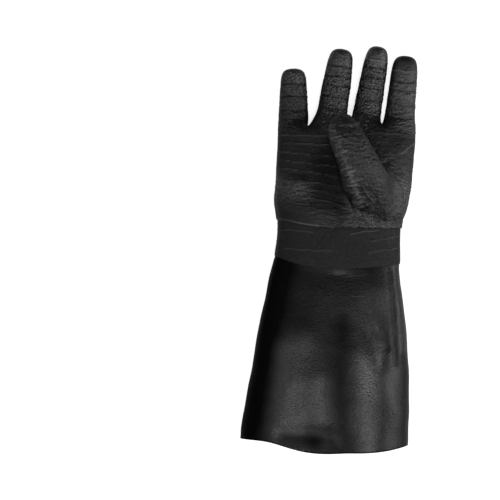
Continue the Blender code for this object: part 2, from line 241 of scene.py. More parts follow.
def normals_of(mesh):
    normals = np.empty(len(mesh.vertices) * 3)
    mesh.vertices.foreach_get("normal", normals)
    return normals.reshape(-1, 3)


def facing_up(mesh):
    """1 on the glove's face, fading to 0 where the skin turns down at the sides."""
    return np.clip(normals_of(mesh)[:, 2] * 3, 0, 1)


def set_points(mesh, points):
    """Moves the points. What would hang below the table is pressed flat on it."""
    points[:, 2] = np.maximum(points[:, 2], 0.0)
    mesh.vertices.foreach_set("co", points.ravel())
    mesh.update()


def baked(obj, name):
    """The object's evaluated shape as a plain mesh. The object itself goes."""
    bpy.context.view_layer.update()
    mesh = bpy.data.meshes.new_from_object(obj.evaluated_get(bpy.context.evaluated_depsgraph_get()))
    mesh.name = name
    bpy.data.objects.remove(obj, do_unlink=True)
    return mesh


def smooth_skin(cage, levels, name):
    """The cage's smooth surface as a plain mesh in the row frame."""
    data = bpy.data.meshes.new(name)
    cage.to_mesh(data)
    shape = bpy.data.objects.new(name, data)
    bpy.context.scene.collection.objects.link(shape)
    smooth = shape.modifiers.new("Smooth surface", "SUBSURF")
    smooth.levels = levels
    smooth.render_levels = levels
    mesh = baked(shape, name)
    set_points(mesh, points_of(mesh) + np.array(DRAWN_TO_ROW))
    return mesh


def rims_of(mesh):
    """The open edges of a mesh as loops of point numbers, in the order that its faces go round."""
    edges = set()
    for face in mesh.polygons:
        corners = face.vertices[:]
        for a, b in zip(corners, corners[1:] + corners[:1]):
            if (b, a) in edges:
                edges.remove((b, a))
            else:
                edges.add((a, b))
    ahead = dict(edges)
    loops = []
    while ahead:
        loop, point = [], min(ahead)
        while point in ahead:
            loop.append(point)
            point = ahead.pop(point)
        loops.append(loop)
    return loops


def walled(name, outer, inner, wall, folds=()):
    """One closed piece: the outer skin, the inner skin set inwards by the wall, and the rims between them.

    The inner skin is coarser, and follows the big folds. Material 0 is the outside and the rims, 1 the inside."""
    outside, inside = points_of(outer), points_of(inner)
    depth = wall - relief_of(inside, folds) * facing_up(inner)
    count = len(outside)
    faces = [tuple(face.vertices) for face in outer.polygons]
    kinds = [0] * len(faces)
    faces += [tuple(count + v for v in reversed(face.vertices)) for face in inner.polygons]
    kinds += [1] * len(inner.polygons)
    for loop in rims_of(inner):
        rim = min(rims_of(outer), key=lambda ring: np.linalg.norm(outside[ring].mean(0) - inside[loop].mean(0)))
        share = len(rim) // len(loop)
        start = int(np.argmin(np.linalg.norm(outside[rim] - inside[loop[0]], axis=1)))
        rim = rim[start:] + rim[:start] + rim[start : start + 1]
        for k, point in enumerate(loop):
            edge = rim[k * share : k * share + share + 1]
            near, far = count + point, count + loop[(k + 1) % len(loop)]
            half = (share + 1) // 2
            faces += [(edge[j + 1], edge[j], near if j < half else far) for j in range(share)]
            faces.append((edge[half], near, far))
    kinds += [0] * (len(faces) - len(kinds))
    mesh = bpy.data.meshes.new(name)
    mesh.from_pydata(np.vstack([outside, inside - normals_of(inner) * depth[:, None]]).tolist(), [], faces)
    mesh.polygons.foreach_set("material_index", kinds)
    mesh.shade_smooth()
    piece = bpy.data.objects.new(name, mesh)
    bpy.context.scene.collection.objects.link(piece)
    return piece


Fold = namedtuple("Fold", "x y to_x to_y bow height width")
# All in mm. A fold runs from x, y to to_x, to_y, seen from above in the row's frame.
# bow: how far its middle stands off the straight way, to the left of one who goes along it.
# height: how far it stands proud, or lies sunk if below 0. width: half of its width.


def relief_of(points, folds):
    """How far each point stands proud of the skin for those folds, which waver a little along their way."""
    wavy = points[:, :2] * 1000 + 0.35 * np.sin(points[:, 1::-1] / 0.0031 + np.sin(points[:, :2] / 0.0047))
    relief = np.zeros(len(points))
    for fold in folds:
        start = np.array((fold.x, fold.y))
        way = np.array((fold.to_x, fold.to_y)) - start
        run = np.hypot(*way)
        away = wavy - start
        along = away @ way / run**2
        u = np.clip(along, 0, 1)
        beside = away @ np.array((-way[1], way[0])) / run - 4 * fold.bow * u * (1 - u)
        gap = np.hypot(beside, (along - u) * run)
        end = np.clip(np.minimum(u, 1 - u) * run / (1.5 * fold.width), 0, 1)
        relief += fold.height * end**2 * (3 - 2 * end) * np.exp(-((gap / fold.width) ** 2))
    return relief / 1000


def share_across_wrist(points):
    """-1 at the wrist's left side, 1 at its right."""
    return np.clip((points[:, 0] - DRAWN_TO_ROW[0]) / (WRIST_WIDTH / 2), -1, 1)


def distance_below(line_y, points):
    """How far each point lies towards the hem from a line across the glove, such as seam_y."""
    heights = np.array([line_y(t) for t in share_across_wrist(points)])
    return heights + DRAWN_TO_ROW[1] - points[:, 1]


def add_attribute(mesh, name, values):
    """Keeps one number, or three, for each point of the mesh."""
    kind = "FLOAT" if values.ndim == 1 else "FLOAT_VECTOR"
    layer = mesh.attributes.new(name, kind, "POINT")
    layer.data.foreach_set("value" if values.ndim == 1 else "vector", values.astype(np.float32).ravel())


def add_node(tree, kind, inputs=None, **settings):
    """Adds a node: settings are its properties, inputs gives each socket a value or another node's output."""
    node = tree.nodes.new(kind)
    for name, value in settings.items():
        setattr(node, name, value)
    for socket, value in (inputs or {}).items():
        if isinstance(value, bpy.types.NodeSocket):
            tree.links.new(value, node.inputs[socket])
        else:
            node.inputs[socket].default_value = value
    return node


def linear(colour):
    """An sRGB hex colour as linear red, green, blue and alpha."""
    parts = [int(colour[i : i + 2], 16) / 255 for i in (1, 3, 5)]
    return (*(c / 12.92 if c <= 0.04045 else ((c + 0.055) / 1.055) ** 2.4 for c in parts), 1.0)


def relief_tree(name, material, sizes):
    """A Geometry Nodes tree that presses a skin's relief into it.

    The skin brings "relief", its drawn folds in metres, "grain", a place along and across its wrinkles,
    "wrinkled" and "crackled", how strong each pattern is there, and "free", 0 where it runs under another."""
    tree = bpy.data.node_groups.new(name, "GeometryNodeTree")
    tree.interface.new_socket("Geometry", in_out="OUTPUT", socket_type="NodeSocketGeometry")
    tree.interface.new_socket("Geometry", in_out="INPUT", socket_type="NodeSocketGeometry")
    for label, value in sizes.items():
        tree.interface.new_socket(label, in_out="INPUT", socket_type="NodeSocketFloat").default_value = value
    given = add_node(tree, "NodeGroupInput").outputs

    def maths(operation, *values):
        return add_node(tree, "ShaderNodeMath", dict(enumerate(values)), operation=operation).outputs[0]

    def kept(label, kind="FLOAT"):
        return add_node(tree, "GeometryNodeInputNamedAttribute", {"Name": label}, data_type=kind).outputs[0]

    def noise(place, detail):
        node = add_node(
            tree,
            "ShaderNodeTexNoise",
            {"Vector": place, "W": given["Seed"], "Scale": 1.0, "Detail": detail, "Roughness": 0.55},
            noise_dimensions="4D",
        )
        return maths("MULTIPLY_ADD", node.outputs[0], 2.0, -1.0)

    def scaled(place, size):
        return add_node(
            tree, "ShaderNodeVectorMath", {0: place, "Scale": maths("DIVIDE", 1.0, size)}, operation="SCALE"
        ).outputs[0]

    position = add_node(tree, "GeometryNodeInputPosition").outputs[0]
    grain = add_node(tree, "ShaderNodeSeparateXYZ", {0: kept("grain", "FLOAT_VECTOR")}).outputs
    folded = add_node(
        tree,
        "ShaderNodeCombineXYZ",
        {
            0: maths("DIVIDE", grain[0], given["Wrinkle Length"]),
            1: maths("DIVIDE", grain[1], given["Wrinkle Spacing"]),
            2: maths("DIVIDE", grain[2], given["Wrinkle Length"]),
        },
    ).outputs[0]
    # turned up at 0, the noise gives round backs with sharp creases between them
    backs = maths("ABSOLUTE", noise(folded, 1.0))
    wrinkles = maths("MULTIPLY", maths("MULTIPLY", backs, given["Wrinkle Depth"]), kept("wrinkled"))
    knobs = maths("ABSOLUTE", noise(scaled(position, given["Crackle Size"]), 1.0))
    crackle = maths("MULTIPLY", maths("MULTIPLY", knobs, given["Crackle Depth"]), kept("crackled"))
    swell = maths("MULTIPLY", noise(scaled(position, given["Swell Size"]), 0.0), given["Swell Depth"])
    height = maths("ADD", maths("ADD", wrinkles, crackle), maths("ADD", swell, kept("relief")))
    height = maths("MULTIPLY", height, kept("free"))
    normal = add_node(tree, "GeometryNodeInputNormal").outputs[0]
    offset = add_node(tree, "ShaderNodeVectorMath", {0: normal, "Scale": height}, operation="SCALE").outputs[0]
    pressed = add_node(tree, "GeometryNodeSetPosition", {"Geometry": given["Geometry"], "Offset": offset})
    real = add_node(tree, "GeometryNodeRealizeInstances", {0: pressed.outputs[0]})
    coated = add_node(tree, "GeometryNodeSetMaterial", {"Geometry": real.outputs[0], "Material": material})
    add_node(tree, "NodeGroupOutput", {0: coated.outputs[0]})
    return tree


def pressed_skin(mesh, name, tree, sizes):
    """The mesh with the tree's relief in it, as a plain mesh that still lies on the table."""
    shape = bpy.data.objects.new(name, mesh)
    bpy.context.scene.collection.objects.link(shape)
    relief = shape.modifiers.new("Relief", "NODES")
    relief.node_group = tree
    for item in tree.interface.items_tree:
        if item.in_out == "INPUT" and item.name in sizes:
            relief[item.identifier] = sizes[item.name]
    made = baked(shape, name)
    set_points(made, points_of(made))
    return made


def smooth_neoprene():
    """Dipped neoprene, smooth and glossy: black, with the orange-peel skin that a dip leaves as it dries."""
    material = bpy.data.materials.new("neoprene, dipped smooth")
    material.use_nodes = True
    tree = material.node_tree
    coat = tree.nodes["Principled BSDF"]
    place = add_node(tree, "ShaderNodeTexCoord").outputs["Object"]
    # peel about 2.2 mm across the glove and 1.1 mm along it
    stretched = add_node(tree, "ShaderNodeMapping", {"Vector": place, "Scale": (450.0, 900.0, 600.0)})
    peel = add_node(tree, "ShaderNodeTexNoise", {"Vector": stretched.outputs[0], "Scale": 1.0, "Detail": 2.0})
    # cloudy gloss, 14 mm
    clouds = add_node(tree, "ShaderNodeTexNoise", {"Vector": place, "Scale": 70.0, "Detail": 3.0})
    cloudy = add_node(tree, "ShaderNodeMapRange", {"Value": clouds.outputs[0], "To Min": 0.35, "To Max": 0.43})
    bump = add_node(
        tree, "ShaderNodeBump", {"Height": peel.outputs[0], "Strength": 1.0, "Distance": 0.0004}
    )
    # painted light and shade: the painted light map sets the specular level and a little of the roughness,
    # brighter on the crowns, darker in the hollows
    shine = add_node(tree, "ShaderNodeAttribute", attribute_name="shine")
    gloss = add_node(
        tree,
        "ShaderNodeMath",
        {0: shine.outputs["Fac"], 1: -0.08, 2: cloudy.outputs[0]},
        operation="MULTIPLY_ADD",
    )
    tree.links.new(gloss.outputs[0], coat.inputs["Roughness"])
    tree.links.new(bump.outputs[0], coat.inputs["Normal"])
    tree.links.new(shine.outputs["Fac"], coat.inputs["Specular IOR Level"])
    coat.inputs["Base Color"].default_value = linear("#060607")
    coat.inputs["IOR"].default_value = 1.52
    return material


def knitted_lining():
    """Cotton jersey, knitted and dyed dark: dull, in ribs of small stitches."""
    material = bpy.data.materials.new("cotton jersey, knitted")
    material.use_nodes = True
    tree = material.node_tree
    cloth = tree.nodes["Principled BSDF"]
    place = add_node(tree, "ShaderNodeTexCoord").outputs["Object"]
    # a wave repeats every 0.314 / Scale metres: wales every 1.6 mm across, courses every 1.2 mm along
    wales = add_node(
        tree, "ShaderNodeTexWave", {"Vector": place, "Scale": 196.0}, bands_direction="X", wave_profile="SIN"
    )
    courses = add_node(
        tree, "ShaderNodeTexWave", {"Vector": place, "Scale": 262.0}, bands_direction="Y", wave_profile="SIN"
    )
    stitches = add_node(
        tree, "ShaderNodeMath", {0: wales.outputs["Fac"], 1: courses.outputs["Fac"]}, operation="MULTIPLY"
    )
    bump = add_node(
        tree, "ShaderNodeBump", {"Height": stitches.outputs[0], "Strength": 0.8, "Distance": 0.0004}
    )
    tree.links.new(bump.outputs[0], cloth.inputs["Normal"])
    cloth.inputs["Base Color"].default_value = linear("#2e2e31")
    cloth.inputs["Roughness"].default_value = 0.9
    return material


def keep_on_piece(piece, **kept):
    """Keeps the outer skin's values on the finished piece, for its material. The inside gets 0."""
    for name, values in kept.items():
        inside = len(piece.data.vertices) - len(values)
        padding = ((0, inside),) + ((0, 0),) * (values.ndim - 1)
        add_attribute(piece.data, name, np.pad(values, padding))


SMOOTH_NEOPRENE = smooth_neoprene()
JERSEY = knitted_lining()
SLEEVE_FOLDS = (
    Fold(62.5, -15.0, 69.0, -125.0, 2.2, -0.9, 3.5),  # the long groove down the right side
    Fold(36.0, -79.0, 65.4, -109.3, 1.7, -1.3, 7.0),
    Fold(56.4, -107.1, 53.0, -134.1, 0.0, -0.8, 6.0),
    Fold(13.0, -60.0, 15.0, -265.0, 0.0, -2.0, 14.0),  # the floor of the trough
    Fold(-28.0, -70.0, -66.0, -225.0, 0.0, 0.8, 14.0),  # the ridge left of it
    Fold(58.0, -100.0, 60.0, -260.0, 0.0, 1.6, 18.0),  # and right of it
    Fold(-64.0, -192.0, 14.0, -198.0, 3.0, -1.5, 9.0),  # the dent above the hem
    Fold(-66.0, -210.0, 20.0, -216.0, 0.0, 1.3, 8.0),  # and the hem's edge, curled up below it
)
SLEEVE_DULL = 0.24
# painted light and shade on the sleeve, in the form of folds: the height is how much, 1 a full gloss
SLEEVE_PAINTED_LIGHT = (
    Fold(-33.0, -72.0, -28.0, -222.0, 0.0, 0.22, 16.0),
    Fold(-42.0, -88.0, -52.0, -216.0, 0.0, 0.36, 13.0),
    Fold(-10.0, -125.0, 0.0, -218.0, 0.0, 0.34, 10.0),
    Fold(44.0, -30.0, 46.0, -165.0, 0.0, 0.34, 14.0),
    Fold(44.0, -95.0, 40.0, -240.0, 0.0, 0.36, 17.0),
    Fold(66.0, -100.0, 64.0, -240.0, 0.0, 0.10, 12.0),
    Fold(73.0, -10.0, 80.0, -115.0, 0.0, 0.35, 7.0),
    Fold(2.0, -24.0, 42.0, -25.0, -2.0, 0.20, 3.0),
    Fold(63.5, -15.0, 70.0, -125.0, 2.2, -0.12, 3.0),
    Fold(-58.0, -197.0, 12.0, -203.0, 0.0, -0.34, 8.0),
    Fold(14.0, -60.0, 14.0, -260.0, 0.0, -0.14, 9.0),  # the trough's floor
    Fold(-40.0, 20.0, -98.0, -250.0, 0.0, -0.26, 17.0),  # the left flank
)
SLEEVE_SIZES = {
    "Wrinkle Spacing": 0.0040,
    "Wrinkle Length": 0.0120,
    "Wrinkle Depth": 0.00020,
    "Crackle Size": 0.0060,
    "Crackle Depth": 0.00020,
    "Swell Size": 0.0300,
    "Swell Depth": 0.0014,
    "Seed": 3.0,
}

rings = [
    sleeve_ring(lambda t, row=row: row.along * GAUNTLET_LENGTH + row.fold * hem_rise(t), 0.0)
    for row in SLEEVE_ROWS[:FLARED_ROWS]
]
last_flared = SLEEVE_ROWS[FLARED_ROWS - 1].along * GAUNTLET_LENGTH
rings.append(sleeve_ring(lambda t: (last_flared + band_y(t)) / 2, 0.0))
cage, _ = tube_cage(rings + neck_rings(0.0))
fit_cage(cage)
skin_mesh = smooth_skin(cage, 4, "gauntlet")
points = points_of(skin_mesh)
add_attribute(skin_mesh, "relief", relief_of(points, SLEEVE_FOLDS) * facing_up(skin_mesh))
add_attribute(skin_mesh, "grain", points)
add_attribute(skin_mesh, "wrinkled", np.ones(len(points)))
add_attribute(skin_mesh, "crackled", np.ones(len(points)))
add_attribute(skin_mesh, "free", np.clip(distance_below(band_y, points) / 0.006, 0, 1))
tree = relief_tree("dipped sleeve relief", SMOOTH_NEOPRENE, SLEEVE_SIZES)
outer = pressed_skin(skin_mesh, "gauntlet", tree, SLEEVE_SIZES)
inner = smooth_skin(cage, 3, "gauntlet_lining")
gauntlet = walled("gauntlet_sleeve", outer, inner, GAUNTLET_WALL, SLEEVE_FOLDS)
# painted light and shade: the sleeve's specular level, darker on the left flank, in the trough and in the dent
# above the hem
shine = SLEEVE_DULL + 1000 * relief_of(points, SLEEVE_PAINTED_LIGHT)
keep_on_piece(gauntlet, shine=np.clip(shine, 0.03, 1.0))
gauntlet.data.materials.append(SMOOTH_NEOPRENE)
gauntlet.data.materials.append(JERSEY)
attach(gauntlet, "root")
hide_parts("gauntlet")


# The wrist band: the second coat of neoprene, where it ran down over the sleeve as the hand was dipped.
# A thin rough tube over the gauntlet's neck. Its lower edge is the dip line, and the weave shows through it.

BAND_WALL = 0.0011
BAND_TAPER = 0.0007  # how much thinner the coat is at the dip line, where it ran out
TAPER_LENGTH = 0.004


def rough_neoprene():
    """Neoprene dipped over crinkled cloth: satin black, with a painted highlight, a paler colour, where its lines
    stand proud, and painted shade in its creases.
    """
    material = bpy.data.materials.new("neoprene, dipped and crinkled")
    material.use_nodes = True
    tree = material.node_tree
    coat = tree.nodes["Principled BSDF"]
    place = add_node(tree, "ShaderNodeTexCoord").outputs["Object"]
    # grain of the coat, 1.1 mm, and clouds of gloss, 9 mm
    grit = add_node(tree, "ShaderNodeTexNoise", {"Vector": place, "Scale": 900.0, "Detail": 3.0})
    clouds = add_node(tree, "ShaderNodeTexNoise", {"Vector": place, "Scale": 110.0, "Detail": 3.0})
    cloudy = add_node(tree, "ShaderNodeMapRange", {"Value": clouds.outputs[0], "To Min": 0.31, "To Max": 0.47})
    # fine wrinkles, 2.4 mm apart and 9 mm long, drawn coarser than the real ones to show at 1 mm a pixel
    grain = add_node(tree, "ShaderNodeAttribute", attribute_name="grain")
    drawn = add_node(
        tree, "ShaderNodeMapping", {"Vector": grain.outputs["Vector"], "Scale": (110.0, 420.0, 110.0)}
    )
    creases = add_node(tree, "ShaderNodeTexNoise", {"Vector": drawn.outputs[0], "Scale": 1.0, "Detail": 1.0})
    wrinkled = add_node(tree, "ShaderNodeAttribute", attribute_name="wrinkled")
    # knobs where the knit's loops show through, 2.4 mm
    loops = add_node(tree, "ShaderNodeTexVoronoi", {"Vector": place, "Scale": 420.0})
    crackled = add_node(tree, "ShaderNodeAttribute", attribute_name="crackled")
    ridges = add_node(
        tree,
        "ShaderNodeMath",
        {0: creases.outputs[0], 1: wrinkled.outputs["Fac"], 2: grit.outputs[0]},
        operation="MULTIPLY_ADD",
    )
    hollows = add_node(
        tree,
        "ShaderNodeMath",
        {0: loops.outputs["Distance"], 1: crackled.outputs["Fac"]},
        operation="MULTIPLY",
    )
    height = add_node(
        tree, "ShaderNodeMath", {0: ridges.outputs[0], 1: hollows.outputs[0]}, operation="SUBTRACT"
    )
    bump = add_node(
        tree, "ShaderNodeBump", {"Height": height.outputs[0], "Strength": 1.0, "Distance": 0.0006}
    )
    proud = add_node(tree, "ShaderNodeAttribute", attribute_name="relief")
    # painted highlight: the base colour turns paler where the lines stand proud, for the light that they catch
    ridge_highlight = add_node(
        tree, "ShaderNodeMapRange", {"Value": proud.outputs["Fac"], "From Min": 0.0001, "From Max": 0.0005}
    )
    # painted shade: the specular level drops in the creases, so they read dark
    crease_shade = add_node(
        tree,
        "ShaderNodeMapRange",
        {"Value": proud.outputs["Fac"], "From Min": -0.0005, "From Max": -0.0001, "To Min": 0.2, "To Max": 1.0},
    )
    # painted light and shade: the specular level and roughness follow the painted light map
    shine = add_node(tree, "ShaderNodeAttribute", attribute_name="shine")
    level = add_node(
        tree, "ShaderNodeMath", {0: crease_shade.outputs[0], 1: shine.outputs["Fac"]}, operation="MULTIPLY"
    )
    gloss = add_node(
        tree,
        "ShaderNodeMath",
        {0: shine.outputs["Fac"], 1: -0.15, 2: cloudy.outputs[0]},
        operation="MULTIPLY_ADD",
    )
    black = add_node(
        tree,
        "ShaderNodeMix",
        {0: ridge_highlight.outputs[0], 6: linear("#0a0a0b"), 7: linear("#565658")},
        data_type="RGBA",
    )
    tree.links.new(black.outputs[2], coat.inputs["Base Color"])
    tree.links.new(level.outputs[0], coat.inputs["Specular IOR Level"])
    tree.links.new(gloss.outputs[0], coat.inputs["Roughness"])
    tree.links.new(bump.outputs[0], coat.inputs["Normal"])
    coat.inputs["IOR"].default_value = 1.52
    return material


BAND_SHINE = 0.26
KNIT_SHOWS = (0.005, 0.003)  # row x, y about which the knit's loops show through the coat most
KNIT_REACH = (0.034, 0.012)
ROUGH_NEOPRENE = rough_neoprene()
BAND_FOLDS = (
    Fold(-51.4, 20.1, -15.6, 16.9, 0.8, 0.25, 0.9),
    Fold(20.3, 15.7, 52.9, 20.1, 0.2, 0.35, 0.9),
    Fold(-48.2, 0.6, 4.0, -1.9, -0.5, 0.25, 0.9),
    Fold(39.9, -3.8, 74.1, 0.6, 0.3, 0.25, 0.9),
    Fold(43.2, 7.6, 74.1, 13.1, 0.2, 0.25, 0.9),
)
BAND_SIZES = {
    "Wrinkle Spacing": 0.0016,
    "Wrinkle Length": 0.0060,
    "Wrinkle Depth": 0.00060,
    "Crackle Size": 0.0024,
    "Crackle Depth": 0.00020,
    "Swell Size": 0.0200,
    "Swell Depth": 0.0002,
    "Seed": 5.0,
}

cage, _ = tube_cage(neck_rings(OVER_NECK))
fit_cage(cage)
skin_mesh = smooth_skin(cage, 5, "wrist_band")
points = points_of(skin_mesh)
relief = relief_of(points, BAND_FOLDS) * facing_up(skin_mesh)
taper = BAND_TAPER * np.exp(distance_below(band_y, points) / TAPER_LENGTH)
grain = points[:, [1, 0, 2]]  # its marks run along the glove
add_attribute(skin_mesh, "relief", relief - taper)
add_attribute(skin_mesh, "grain", grain)
add_attribute(skin_mesh, "wrinkled", np.ones(len(points)))
add_attribute(skin_mesh, "crackled", np.ones(len(points)))
add_attribute(skin_mesh, "free", np.clip(distance_below(seam_y, points) / 0.003, 0, 1))
tree = relief_tree("second coat relief", ROUGH_NEOPRENE, BAND_SIZES)
outer = pressed_skin(skin_mesh, "wrist_band", tree, BAND_SIZES)
band = walled("wrist_band_coat", outer, smooth_skin(cage, 3, "wrist_band_inside"), BAND_WALL)
even = np.ones(len(points))
knit = np.exp(-(((points[:, :2] - KNIT_SHOWS) / KNIT_REACH) ** 2).sum(1))
keep_on_piece(
    band,
    relief=relief,
    grain=grain,
    wrinkled=0.4 + 1.4 * knit,
    crackled=even * 0.4,
    shine=even * BAND_SHINE,
)
band.data.materials.append(ROUGH_NEOPRENE)
band.data.materials.append(JERSEY)
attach(band, "root")
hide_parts("wrist_band")


# The hand: palm, four fingers and the thumb, dipped in rough neoprene over a knitted glove.
# One closed shell. Its fingers curl a little off the table, and the thumb lies over the palm.
# It laps down over the band's top, and the lap's edge is the raised seam across the wrist.

PALM_LENGTH = 0.113
PALM_WIDTH = 0.146
PALM_HEIGHT = 0.035
KNUCKLE_HEIGHT = 0.030
FINGER_LENGTH = 0.0812
FINGER_WIDTH = 0.030
FINGER_HEIGHT = 0.0225
THUMB_LENGTH = 0.104
THUMB_WIDTH = 0.037
THUMB_HEIGHT = 0.027
THUMB_LIFT = 0.055
HAND_WALL = 0.0018
PALM_POWER = 2.5
PALM_SAG = 0.06
KNUCKLE_SIDE = 0.48
KNUCKLE_LEFT = -0.878
KNUCKLE_RIGHT = 1.125
WEB_DROP = 0.0035
FINGER_MIDDLE = 0.52
LIMB_POWER = 2.15
THUMB_FOOT_ACROSS = 0.654
THUMB_FOOT_ALONG = 0.247
THUMB_LEAN = 28.2
THUMB_TIP_LIFT = 0.91
THUMB_TIP_SHIFT = -0.045

PalmRow = namedtuple("PalmRow", "along left right top side rise")
PALM_ROWS = (
    PalmRow(0.14, 0.935, 0.970, 1.17, 0.54, 1.00),
    PalmRow(0.24, 0.935, 1.015, 1.12, 0.50, 0.70),
    PalmRow(0.40, 0.915, 1.055, 1.05, 0.45, 0.35),
    PalmRow(0.60, 0.900, 1.090, 0.98, 0.43, 0.10),
    PalmRow(0.79, 0.886, 1.115, 0.93, 0.43, 0.00),
)
Finger = namedtuple("Finger", "across foot lean length width height curl")
FINGERS = (  # little, ring, middle, index
    Finger(-0.652, -0.18, 0.0, 0.765, 0.97, 0.92, 0.30),
    Finger(-0.113, -0.03, 9.0, 0.975, 0.985, 1.00, 0.34),
    Finger(0.397, 0.00, 9.8, 1.000, 0.90, 0.98, 0.34),
    Finger(0.885, -0.10, 5.7, 0.905, 0.98, 1.00, 0.30),
)
LimbRow = namedtuple("LimbRow", "along width height")
FINGER_ROWS = (
    LimbRow(0.13, 1.09, 1.08),
    LimbRow(0.40, 1.02, 1.02),
    LimbRow(0.66, 0.96, 0.98),
    LimbRow(0.86, 0.87, 0.88),
    LimbRow(0.968, 0.61, 0.60),
)
RootPoint = namedtuple("RootPoint", "row column across along height")
THUMB_ROOT = (
    RootPoint(3, 4, 0.10, 0.300, 1.04),
    RootPoint(2, 4, 0.27, 0.140, 1.17),
    RootPoint(2, 5, 0.47, 0.130, 1.21),
    RootPoint(2, 6, 0.64, 0.130, 1.17),
    RootPoint(2, 7, 0.77, 0.140, 1.05),
    RootPoint(3, 7, 0.86, 0.370, 1.00),
    RootPoint(4, 7, 0.69, 0.575, 0.97),
    RootPoint(4, 6, 0.53, 0.570, 1.00),
    RootPoint(4, 5, 0.36, 0.535, 1.01),
    RootPoint(4, 4, 0.18, 0.475, 1.01),
)
ThumbRow = namedtuple("ThumbRow", "along shift width lift height tilt")
THUMB_ROWS = (
    ThumbRow(0.280, -0.25, 1.32, 0.88, 1.00, 31),
    ThumbRow(0.450, -0.19, 1.18, 0.97, 1.06, 14),
    ThumbRow(0.650, -0.14, 1.04, 1.00, 1.00, 2),
    ThumbRow(0.830, -0.11, 0.93, 0.97, 0.92, -6),
    ThumbRow(0.945, -0.09, 0.58, 0.93, 0.60, -10),
)


def palm_rings():
    """Rings from the hand's lower edge to the row below the webs."""
    rings = [sleeve_ring(y_of, OVER_BAND) for y_of in (seam_y, lambda t: seam_y(t) + SEAM_LAP)]
    for row in PALM_ROWS:
        ring = section(
            -row.left * PALM_WIDTH / 2,
            row.right * PALM_WIDTH / 2,
            row.side * PALM_HEIGHT,
            row.top * PALM_HEIGHT,
            -PALM_SAG * PALM_HEIGHT,
            PALM_POWER,
        )
        along = row.along * PALM_LENGTH + (1 - row.rise) * GAUNTLET_LENGTH
        rings.append([(x, along + row.rise * seam_y(t), z) for t, x, z in ring])
    return rings


def web_heights():
    """Y of the knuckle row at each column: the webs between the fingers and the sides of the outer two."""
    feet = [finger.foot for finger in FINGERS]
    edges = [feet[0]] + [(a + b) / 2 for a, b in zip(feet, feet[1:])] + [feet[-1]]
    return [GAUNTLET_LENGTH + PALM_LENGTH + foot * FINGER_WIDTH for foot in edges]


def knuckle_ring():
    """The palm's last ring, with its web columns a little lower than the middles of the fingers."""
    ring = section(
        KNUCKLE_LEFT * PALM_WIDTH / 2,
        KNUCKLE_RIGHT * PALM_WIDTH / 2,
        KNUCKLE_HEIGHT * KNUCKLE_SIDE,
        KNUCKLE_HEIGHT,
        0.0,
        PALM_POWER,
    )
    webs = web_heights()
    columns = [*range(COLUMNS), COLUMNS - 1, *reversed(range(COLUMNS)), 0]
    heights = [(webs[c // 2] + webs[(c + 1) // 2]) / 2 - WEB_DROP for c in columns]
    return [(x, y, z) for (_, x, z), y in zip(ring, heights)]


def limb_ring(centre, along, right, width, height, count):
    """A ring round a limb, in the palm rings' order: left of the front first, clockwise seen from the tip."""
    up = np.cross(right, along)
    points = []
    for i in range(count):
        angle = math.pi - (i + 1) * 2 * math.pi / count
        c, s = math.cos(angle), math.sin(angle)
        out = (abs(c) ** LIMB_POWER + abs(s) ** LIMB_POWER) ** (-1 / LIMB_POWER)
        points.append(tuple(centre + right * (c * out * width / 2) + up * (s * out * height / 2)))
    return points


def cap(cage, ring, tip):
    """Closes a ring of even count with quads that meet at tip."""
    centre = cage.verts.new(tip)
    for i in range(0, len(ring), 2):
        cage.faces.new((ring[i - 1], ring[i], ring[(i + 1) % len(ring)], centre))


def add_finger(cage, finger, base_ring):
    """Rings from the knuckle line to a closed fingertip."""
    length = FINGER_LENGTH * finger.length
    lean = math.radians(finger.lean)
    along = np.array((math.sin(lean), math.cos(lean), 0.0))
    right = np.array((math.cos(lean), -math.sin(lean), 0.0))
    start = GAUNTLET_LENGTH + PALM_LENGTH + finger.foot * FINGER_WIDTH
    foot = np.array((finger.across * PALM_WIDTH / 2, start, 0.0))
    height = FINGER_HEIGHT * finger.height
    width = FINGER_WIDTH * finger.width
    rise = finger.curl * height
    previous = base_ring
    for row in FINGER_ROWS:
        centre = foot + along * (row.along * length)
        centre[2] = height * FINGER_MIDDLE + rise * row.along**2
        ring = limb_ring(centre, along, right, width * row.width, height * row.height, len(base_ring))
        verts = [cage.verts.new(point) for point in ring]
        skin(cage, previous, verts)
        previous = verts
    tip = foot + along * length
    tip[2] = height * FINGER_MIDDLE + rise
    cap(cage, previous, tuple(tip))


def add_thumb(cage, root):
    """Rings from the root in the palm, over the palm to the closed tip."""
    lean = math.radians(THUMB_LEAN)
    along = np.array((-math.sin(lean), math.cos(lean), 0.0))
    right = np.array((math.cos(lean), math.sin(lean), 0.0))
    foot = np.array(
        (THUMB_FOOT_ACROSS * PALM_WIDTH / 2, GAUNTLET_LENGTH + THUMB_FOOT_ALONG * PALM_LENGTH, 0.0)
    )
    previous = root
    for row in THUMB_ROWS:
        centre = foot + along * (row.along * THUMB_LENGTH) + right * (row.shift * THUMB_WIDTH)
        centre[2] = row.lift * THUMB_LIFT
        tilt = math.radians(row.tilt)
        axis = along * math.cos(tilt) + np.array((0.0, 0.0, math.sin(tilt)))
        ring = limb_ring(centre, axis, right, THUMB_WIDTH * row.width, THUMB_HEIGHT * row.height, len(root))
        verts = [cage.verts.new(point) for point in ring]
        # the root's list starts at the left side, the ring's just after it
        verts = verts[-1:] + verts[:-1]
        skin(cage, previous, verts)
        previous = verts
    tip = foot + along * THUMB_LENGTH + right * (THUMB_TIP_SHIFT * THUMB_WIDTH)
    tip[2] = THUMB_TIP_LIFT * THUMB_LIFT
    cap(cage, previous, tuple(tip))


